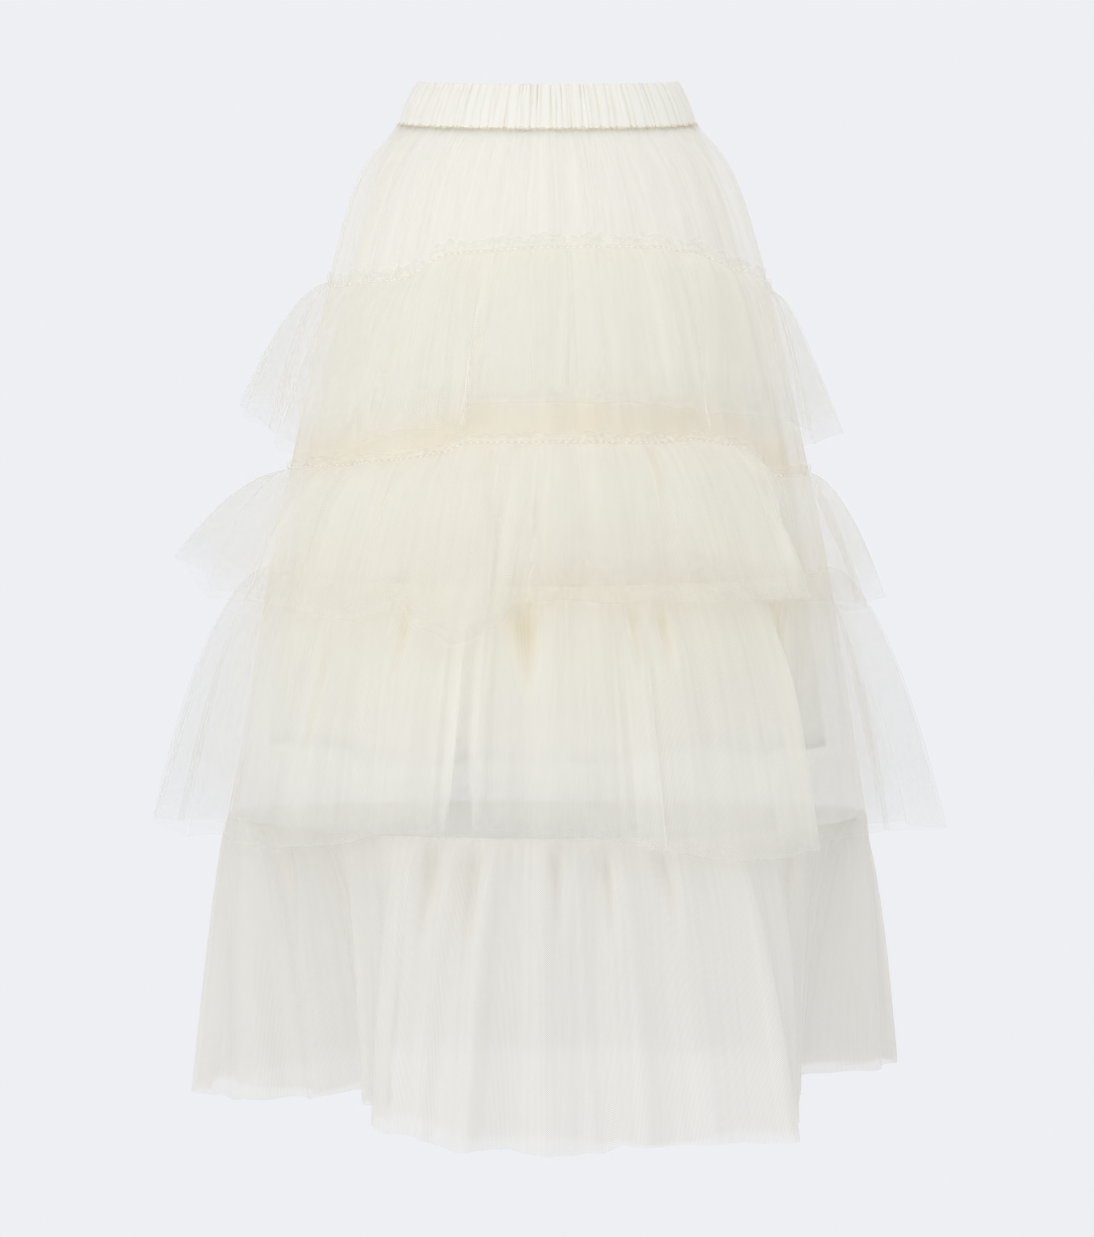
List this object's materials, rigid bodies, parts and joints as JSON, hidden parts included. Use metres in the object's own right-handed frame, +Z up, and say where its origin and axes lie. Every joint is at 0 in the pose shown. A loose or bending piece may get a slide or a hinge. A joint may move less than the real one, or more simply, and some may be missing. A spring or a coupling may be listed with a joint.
{
  "type": "tulle skirt",
  "caption": "Long tiered net skirt on a gathered elastic waistband, with flared gathered ruffles over a lined underskirt and a flounce at the hem, filled out and hollow.",
  "frame": {"origin": "on the upright axis of the skirt, at the middle of the waistband's height", "axes": "+Z up, the front faces -Y, the wearer's left hand is at +X"},
  "size_m": [0.7642, 0.6331, 0.994],
  "materials": {
    "band_cloth": "matt ivory woven cloth, gathered over elastic",
    "net": "soft ivory tulle, see-through, with a faint sheen",
    "lining_cloth": "smooth matt ivory lining"
  },
  "bodies": {
    "root": {"waistband": "band_cloth", "carrier_front": "net", "carrier_back": "net", "lining_front": "lining_cloth", "lining_back": "lining_cloth", "ruffle_1_front": "net", "ruffle_1_back": "net", "ruffle_2_front": "net", "ruffle_2_back": "net", "ruffle_3_front": "net", "ruffle_3_back": "net", "ruffle_4_front": "net", "ruffle_4_back": "net"}
  },
  "joints": []
}
